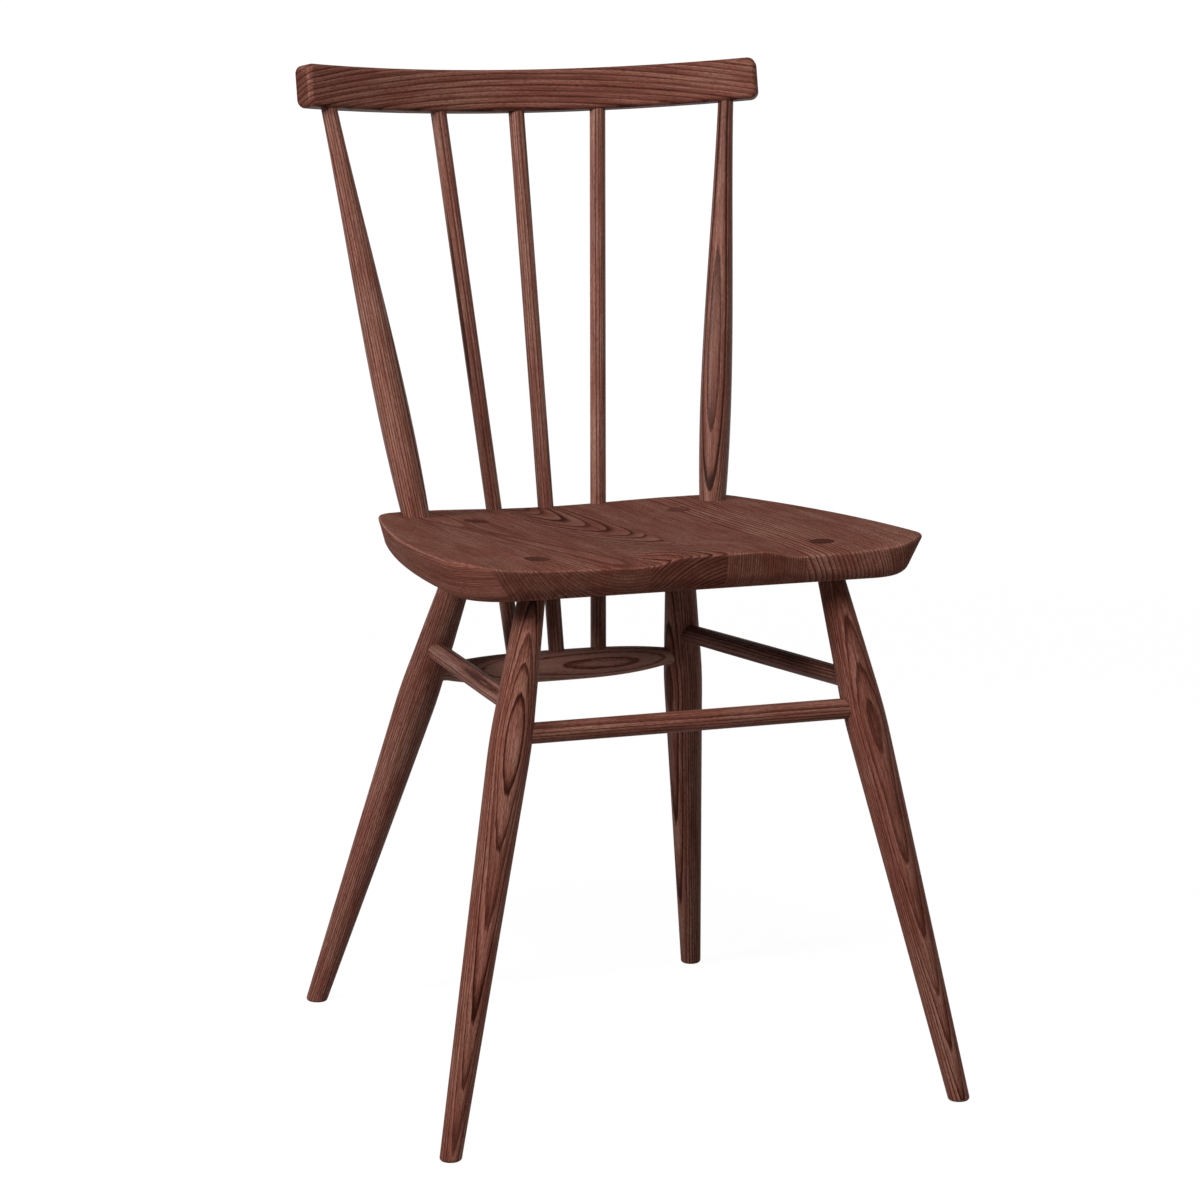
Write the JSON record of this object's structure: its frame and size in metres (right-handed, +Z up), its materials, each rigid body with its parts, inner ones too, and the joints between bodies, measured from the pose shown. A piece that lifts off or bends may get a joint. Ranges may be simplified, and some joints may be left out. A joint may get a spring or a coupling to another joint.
{
  "type": "windsor chair",
  "caption": "Armless windsor dining chair with a saddled plank seat, splayed turned legs and stretchers, raked turned posts, slender spindles and a bent crest rail.",
  "frame": {"origin": "on the floor, under the middle of the chair's footprint and on its plane of symmetry", "axes": "+Z up; the front of the seat faces -Y and the back rest leans towards +Y; +X to the right for someone who looks at the front of the chair"},
  "size_m": [0.4434, 0.4876, 0.8111],
  "materials": {
    "stained_wood": "satin lacquer over dark brown stain"
  },
  "bodies": {
    "root": {"back_rail_lower": "stained_wood", "crest_rail": "stained_wood", "leg_front_left": "stained_wood", "leg_front_right": "stained_wood", "leg_rear_left": "stained_wood", "leg_rear_right": "stained_wood", "post_left": "stained_wood", "post_right": "stained_wood", "seat_board_left": "stained_wood", "seat_board_mid_left": "stained_wood", "seat_board_mid_right": "stained_wood", "seat_board_right": "stained_wood", "spindle_left": "stained_wood", "spindle_middle": "stained_wood", "spindle_right": "stained_wood", "stretcher_front": "stained_wood", "stretcher_left": "stained_wood", "stretcher_right": "stained_wood", "wedge_front_left": "stained_wood", "wedge_front_right": "stained_wood", "wedge_rear_left": "stained_wood", "wedge_rear_right": "stained_wood"}
  },
  "joints": []
}
